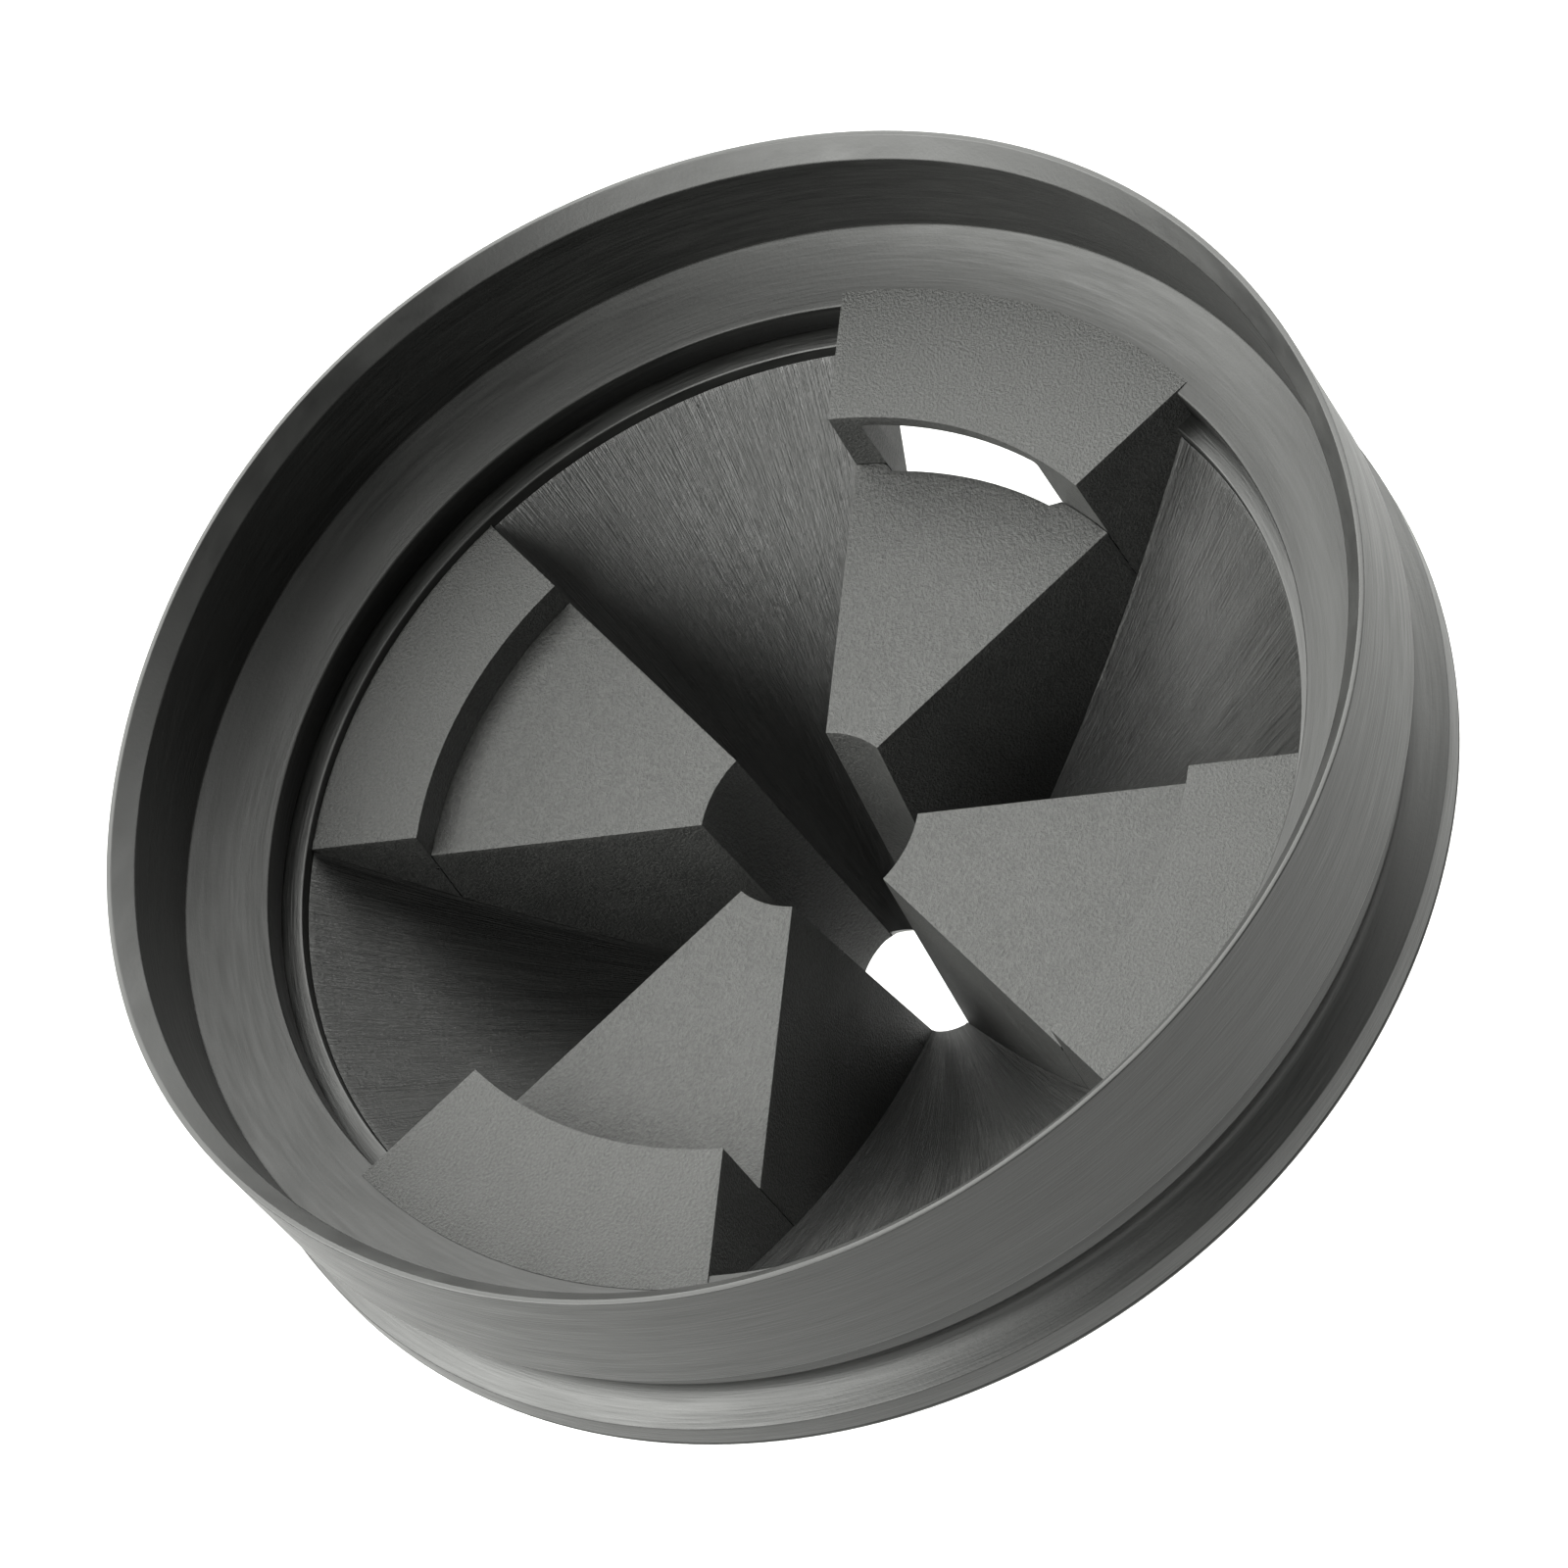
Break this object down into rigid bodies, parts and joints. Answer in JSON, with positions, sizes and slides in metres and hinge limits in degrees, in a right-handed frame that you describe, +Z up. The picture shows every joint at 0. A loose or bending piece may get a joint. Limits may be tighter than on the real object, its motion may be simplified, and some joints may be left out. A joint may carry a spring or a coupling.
{
  "type": "disposer splash baffle",
  "caption": "Moulded rubber splash baffle for a sink waste disposer: a round collar with a beaded foot around a pinwheel of flat wedge flaps and sloping funnel flaps.",
  "frame": {"origin": "on the axis, in the plane of the bead's underside, where the baffle sits on the disposer's throat", "axes": "+Z up along the axis to the rim; the two high arc plates lie on X and the two low ones on Y"},
  "size_m": [0.087, 0.087, 0.0402],
  "materials": {
    "collar_rubber": "moulded rubber with fine turned streaks",
    "plate_rubber": "matte moulded rubber with a fine grain",
    "wedge_rubber": "matte moulded rubber with a fine grain",
    "funnel_rubber": "satin rubber with fine streaks"
  },
  "bodies": {
    "collar": {"skirt": "collar_rubber", "ledge_ring": "collar_rubber", "hanger_ring": "collar_rubber", "neck_and_bead": "collar_rubber", "high_arc_plate_1": "plate_rubber", "high_arc_plate_2": "plate_rubber", "low_arc_plate_1": "plate_rubber", "low_arc_plate_2": "plate_rubber"},
    "wedge_flap_1": {"wedge_flap_1": "wedge_rubber"},
    "wedge_flap_2": {"wedge_flap_2": "wedge_rubber"},
    "wedge_flap_3": {"wedge_flap_3": "wedge_rubber"},
    "wedge_flap_4": {"wedge_flap_4": "wedge_rubber"},
    "funnel_flap_1": {"funnel_flap_1": "funnel_rubber"},
    "funnel_flap_2": {"funnel_flap_2": "funnel_rubber"},
    "funnel_flap_3": {"funnel_flap_3": "funnel_rubber"},
    "funnel_flap_4": {"funnel_flap_4": "funnel_rubber"}
  },
  "joints": [
    {"name": "wedge_flap_1_bend", "type": "hinge", "parent": "collar", "child": "wedge_flap_1", "pos_m": [0.02715, 0, -0.0032], "axis": [0, -1, 0], "range_deg": [0, 35], "stiffness_Nm_per_rad": 0.2},
    {"name": "wedge_flap_2_bend", "type": "hinge", "parent": "collar", "child": "wedge_flap_2", "pos_m": [0, 0.02715, -0.0032], "axis": [1, 0, 0], "range_deg": [0, 35], "stiffness_Nm_per_rad": 0.2},
    {"name": "wedge_flap_3_bend", "type": "hinge", "parent": "collar", "child": "wedge_flap_3", "pos_m": [-0.02715, 0, -0.0032], "axis": [0, 1, 0], "range_deg": [0, 35], "stiffness_Nm_per_rad": 0.2},
    {"name": "wedge_flap_4_bend", "type": "hinge", "parent": "collar", "child": "wedge_flap_4", "pos_m": [0, -0.02715, -0.0032], "axis": [-1, 0, 0], "range_deg": [0, 35], "stiffness_Nm_per_rad": 0.2},
    {"name": "funnel_flap_1_bend", "type": "hinge", "parent": "collar", "child": "funnel_flap_1", "pos_m": [0.02468, 0.02468, 0.0052], "axis": [0.7071, -0.7071, 0], "range_deg": [0, 40], "stiffness_Nm_per_rad": 0.25},
    {"name": "funnel_flap_2_bend", "type": "hinge", "parent": "collar", "child": "funnel_flap_2", "pos_m": [-0.02468, 0.02468, 0.0052], "axis": [0.7071, 0.7071, 0], "range_deg": [0, 40], "stiffness_Nm_per_rad": 0.25},
    {"name": "funnel_flap_3_bend", "type": "hinge", "parent": "collar", "child": "funnel_flap_3", "pos_m": [-0.02468, -0.02468, 0.0052], "axis": [-0.7071, 0.7071, 0], "range_deg": [0, 40], "stiffness_Nm_per_rad": 0.25},
    {"name": "funnel_flap_4_bend", "type": "hinge", "parent": "collar", "child": "funnel_flap_4", "pos_m": [0.02468, -0.02468, 0.0052], "axis": [-0.7071, -0.7071, 0], "range_deg": [0, 40], "stiffness_Nm_per_rad": 0.25}
  ]
}
